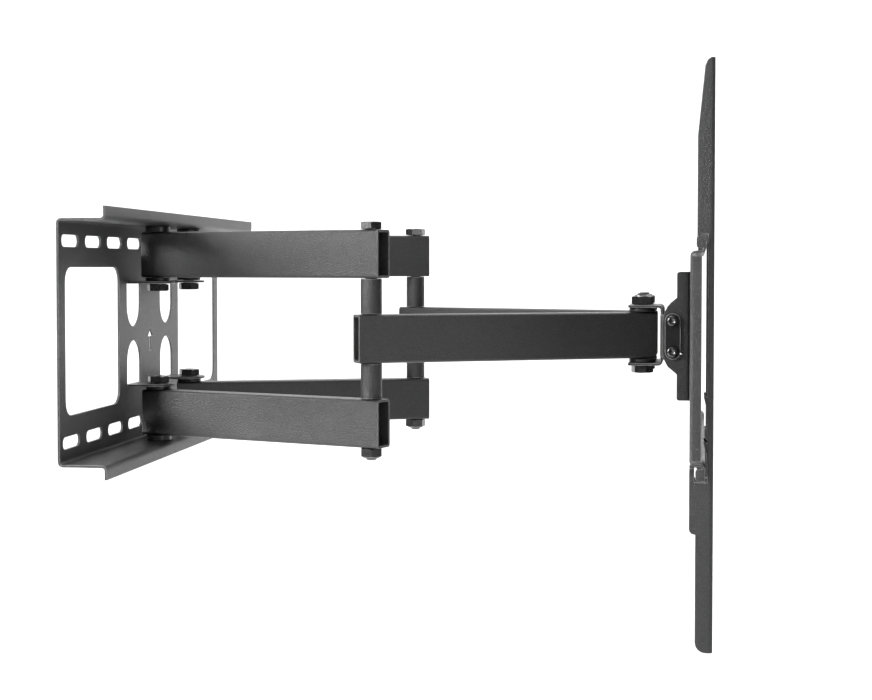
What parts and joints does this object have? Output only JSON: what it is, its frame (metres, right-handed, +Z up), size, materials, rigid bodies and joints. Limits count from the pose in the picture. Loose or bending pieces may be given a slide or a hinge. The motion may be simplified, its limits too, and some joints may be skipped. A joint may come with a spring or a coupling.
{
  "type": "tv wall mount",
  "caption": "Full motion wall mount: a flanged wall plate, paired folding arms, a swivel head with tilt bracket, and a crossbar with hook-on rails for a flat screen.",
  "frame": {"origin": "middle of the wall plate's back face, on the wall", "axes": "+X out of the wall into the room, +Z up, Y along the wall; the near arm is at -Y"},
  "size_m": [0.5218, 0.462, 0.447],
  "materials": {
    "powder_coat": "fine-textured black powder coat",
    "black_zinc": "black zinc plated steel, semi-gloss",
    "black_nylon": "black nylon, satin"
  },
  "bodies": {
    "wall_body": {"wall_plate": "powder_coat", "pivot_bolt_lower_far": "black_zinc", "pivot_bolt_lower_near": "black_zinc", "pivot_bolt_upper_far": "black_zinc", "pivot_bolt_upper_near": "black_zinc", "pivot_nut_lower_far": "black_zinc", "pivot_nut_lower_near": "black_zinc", "pivot_nut_upper_far": "black_zinc", "pivot_nut_upper_near": "black_zinc", "pivot_washer_inner_lower_far": "black_nylon", "pivot_washer_inner_lower_near": "black_nylon", "pivot_washer_inner_upper_far": "black_nylon", "pivot_washer_inner_upper_near": "black_nylon", "pivot_washer_outer_lower_far": "black_nylon", "pivot_washer_outer_lower_near": "black_nylon", "pivot_washer_outer_upper_far": "black_nylon", "pivot_washer_outer_upper_near": "black_nylon"},
    "head": {"swivel_bracket": "powder_coat", "head_bolt_far": "black_zinc", "head_bolt_near": "black_zinc", "head_nut_far": "black_zinc", "head_nut_near": "black_zinc", "head_washer_lower_far": "black_nylon", "head_washer_lower_near": "black_nylon", "head_washer_upper_far": "black_nylon", "head_washer_upper_near": "black_nylon", "tilt_clamp_far": "black_zinc", "tilt_clamp_near": "black_zinc", "tilt_nut_lower_far": "black_zinc", "tilt_nut_lower_near": "black_zinc", "tilt_nut_upper_far": "black_zinc", "tilt_nut_upper_near": "black_zinc", "tilt_screw_lower_far": "black_zinc", "tilt_screw_lower_near": "black_zinc", "tilt_screw_upper_far": "black_zinc", "tilt_screw_upper_near": "black_zinc"},
    "tilt_body": {"tilt_bracket": "powder_coat", "crossbar": "powder_coat", "crossbar_rivet_lower_far": "black_zinc", "crossbar_rivet_lower_near": "black_zinc", "crossbar_rivet_upper_far": "black_zinc", "crossbar_rivet_upper_near": "black_zinc"},
    "rear_near": {"elbow_bolt_near": "black_zinc", "elbow_nut_near": "black_zinc", "elbow_spacer_lower_near": "powder_coat", "elbow_spacer_upper_near": "powder_coat", "rear_arm_lower_near": "powder_coat", "rear_arm_upper_near": "powder_coat"},
    "fore_near": {"forearm_near": "powder_coat"},
    "rail_body_near": {"rail_near": "powder_coat"},
    "rear_far": {"elbow_bolt_far": "black_zinc", "elbow_nut_far": "black_zinc", "elbow_spacer_lower_far": "powder_coat", "elbow_spacer_upper_far": "powder_coat", "rear_arm_lower_far": "powder_coat", "rear_arm_upper_far": "powder_coat"},
    "fore_far": {"forearm_far": "powder_coat"},
    "rail_body_far": {"rail_far": "powder_coat"}
  },
  "joints": [
    {"name": "near_wall_pivot", "type": "hinge", "parent": "wall_body", "child": "rear_near", "pos_m": [0.0245, -0.048, 0], "axis": [0, 0, -1], "range_deg": [0, 66]},
    {"name": "near_elbow", "type": "hinge", "parent": "rear_near", "child": "fore_near", "pos_m": [0.23084, -0.12631, 0], "axis": [0, 0, 1], "range_deg": [0, 128]},
    {"name": "near_head_pivot", "type": "hinge", "parent": "fore_near", "child": "head", "pos_m": [0.45312, -0.02398, 0], "axis": [0, 0, 1], "range_deg": [-59, 0]},
    {"name": "far_wall_pivot", "type": "hinge", "parent": "wall_body", "child": "rear_far", "pos_m": [0.0245, 0.048, 0], "axis": [0, 0, 1], "range_deg": [0, 67]},
    {"name": "far_elbow", "type": "hinge", "parent": "rear_far", "child": "fore_far", "pos_m": [0.23164, 0.12418, 0], "axis": [0, 0, -1], "range_deg": [0, 129.6]},
    {"name": "tilt", "type": "hinge", "parent": "head", "child": "tilt_body", "pos_m": [0.49517, -0.00151, 0], "axis": [0.0366, 0.9993, 0], "range_deg": [-10, 20]},
    {"name": "near_rail_slide", "type": "slide", "parent": "tilt_body", "child": "rail_body_near", "axis": [0.0366, 0.9993, 0], "range_m": [0, 0.1]},
    {"name": "far_rail_slide", "type": "slide", "parent": "tilt_body", "child": "rail_body_far", "axis": [-0.0366, -0.9993, 0], "range_m": [0, 0.1]}
  ],
  "couplings": [
    {"joint": "near_elbow", "follows": "near_wall_pivot", "ratio": 1.9349},
    {"joint": "near_head_pivot", "follows": "near_wall_pivot", "ratio": -0.88885},
    {"joint": "far_wall_pivot", "follows": "near_wall_pivot", "ratio": 1.0089},
    {"joint": "far_elbow", "follows": "near_wall_pivot", "ratio": 1.9582}
  ]
}
